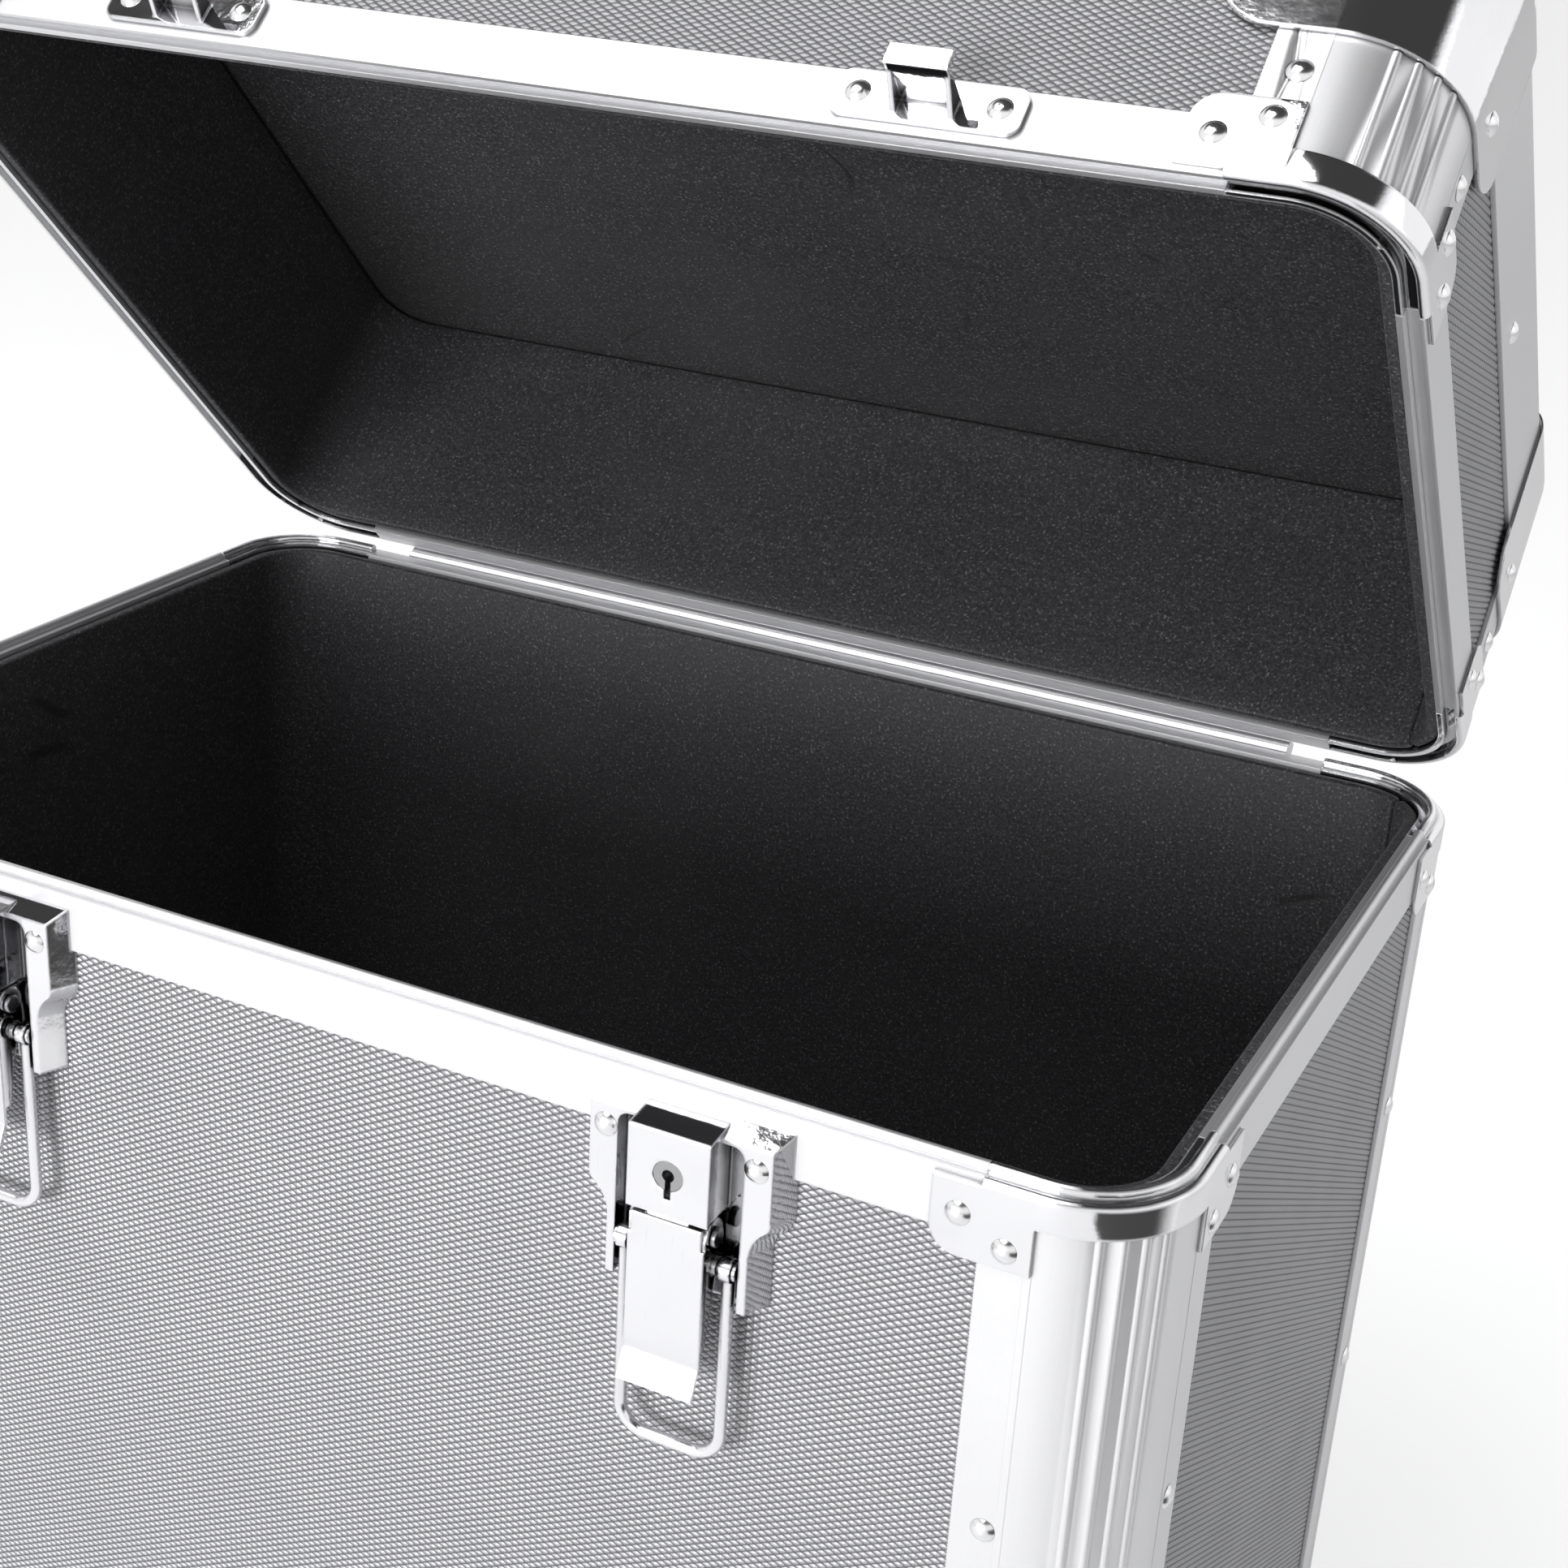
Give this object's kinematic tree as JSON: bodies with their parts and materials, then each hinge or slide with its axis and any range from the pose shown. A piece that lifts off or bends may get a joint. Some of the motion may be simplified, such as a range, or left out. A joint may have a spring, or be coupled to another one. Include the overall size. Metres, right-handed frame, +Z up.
{
  "type": "record carrying case",
  "caption": "Rigid carrying case for records: boards in riveted aluminium sections with chrome corners, a hinged lid, draw latches with key locks and a folding handle.",
  "frame": {"origin": "centre of the base's footprint, on the plane that the rubber feet stand on", "axes": "+Z up, +Y from the latches towards the hinge, +X to the right as seen from the front; the lid stands open 46 degrees at rest"},
  "size_m": [0.3646, 0.2991, 0.534],
  "materials": {
    "board": "thin plywood under an embossed silver-grey laminate",
    "aluminium": "satin",
    "chrome": "polished",
    "rivet": "polished",
    "steel": "zinc plated",
    "lock": "nickel plated",
    "foam": "matte closed-cell foam",
    "rubber": "matte",
    "grip": "fine texture"
  },
  "bodies": {
    "base": {"base_front_panel": "board", "base_right_panel": "board", "base_back_panel": "board", "base_left_panel": "board", "base_floor_panel": "board", "base_post_front_right": "aluminium", "base_post_back_right": "aluminium", "base_post_back_left": "aluminium", "base_post_front_left": "aluminium", "base_rim_front": "aluminium", "base_rim_right": "aluminium", "base_rim_left": "aluminium", "base_hinge_strip": "aluminium", "base_rim_corner_front_right": "chrome", "base_rim_corner_back_right": "chrome", "base_rim_corner_back_left": "chrome", "base_rim_corner_front_left": "chrome", "base_long_edges": "aluminium", "base_short_edges": "aluminium", "base_corner_caps": "chrome", "base_wall_lining": "foam", "base_floor_lining": "foam", "rubber_feet": "rubber", "foot_screws": "steel", "base_rivets": "rivet", "latch_plate_left": "chrome", "latch_plate_right": "chrome", "latch_rivets": "rivet", "lever_pins": "steel"},
    "lid": {"lid_front_panel": "board", "lid_right_panel": "board", "lid_back_panel": "board", "lid_left_panel": "board", "lid_top_panel": "board", "lid_posts": "aluminium", "lid_rim_front": "aluminium", "lid_rim_right": "aluminium", "lid_rim_left": "aluminium", "lid_hinge_strip": "aluminium", "lid_rim_corner_front_right": "chrome", "lid_rim_corner_back_right": "chrome", "lid_rim_corner_back_left": "chrome", "lid_rim_corner_front_left": "chrome", "lid_long_edges": "aluminium", "lid_short_edges": "aluminium", "lid_corner_caps": "chrome", "lid_wall_lining": "foam", "lid_top_lining": "foam", "lid_rivets": "rivet", "keeper_left": "chrome", "keeper_right": "chrome", "handle_brackets": "chrome"},
    "lever_left": {"latch_lever_left": "chrome"},
    "lever_right": {"latch_lever_right": "chrome"},
    "bail_left": {"latch_bail_left": "chrome"},
    "bail_right": {"latch_bail_right": "chrome"},
    "lock_left": {"lock_cylinder_left": "lock"},
    "lock_right": {"lock_cylinder_right": "lock"},
    "handle": {"handle_bar": "chrome", "handle_grip": "grip"}
  },
  "joints": [
    {"name": "lid_hinge", "type": "hinge", "parent": "base", "child": "lid", "pos_m": [0, 0.1187, 0.312], "axis": [-1, 0, 0], "range_deg": [-46, 54]},
    {"name": "lever_pivot_left", "type": "hinge", "parent": "base", "child": "lever_left", "pos_m": [-0.0865, -0.1202, 0.2847], "axis": [-1, 0, 0], "range_deg": [0, 80]},
    {"name": "bail_pivot_left", "type": "hinge", "parent": "lever_left", "child": "bail_left", "pos_m": [-0.0865, -0.1192, 0.2777], "axis": [1, 0, 0], "range_deg": [-174, 4]},
    {"name": "lock_turn_left", "type": "hinge", "parent": "base", "child": "lock_left", "pos_m": [-0.0865, -0.121, 0.2976], "axis": [0, -1, 0], "range_deg": [0, 90]},
    {"name": "lever_pivot_right", "type": "hinge", "parent": "base", "child": "lever_right", "pos_m": [0.0865, -0.1202, 0.2847], "axis": [-1, 0, 0], "range_deg": [0, 80]},
    {"name": "bail_pivot_right", "type": "hinge", "parent": "lever_right", "child": "bail_right", "pos_m": [0.0865, -0.1192, 0.2777], "axis": [1, 0, 0], "range_deg": [-174, 4]},
    {"name": "lock_turn_right", "type": "hinge", "parent": "base", "child": "lock_right", "pos_m": [0.0865, -0.121, 0.2976], "axis": [0, -1, 0], "range_deg": [0, 90]},
    {"name": "handle_pivot", "type": "hinge", "parent": "lid", "child": "handle", "pos_m": [0, 0.10012, 0.45907], "axis": [1, 0, 0], "range_deg": [0, 180]}
  ]
}
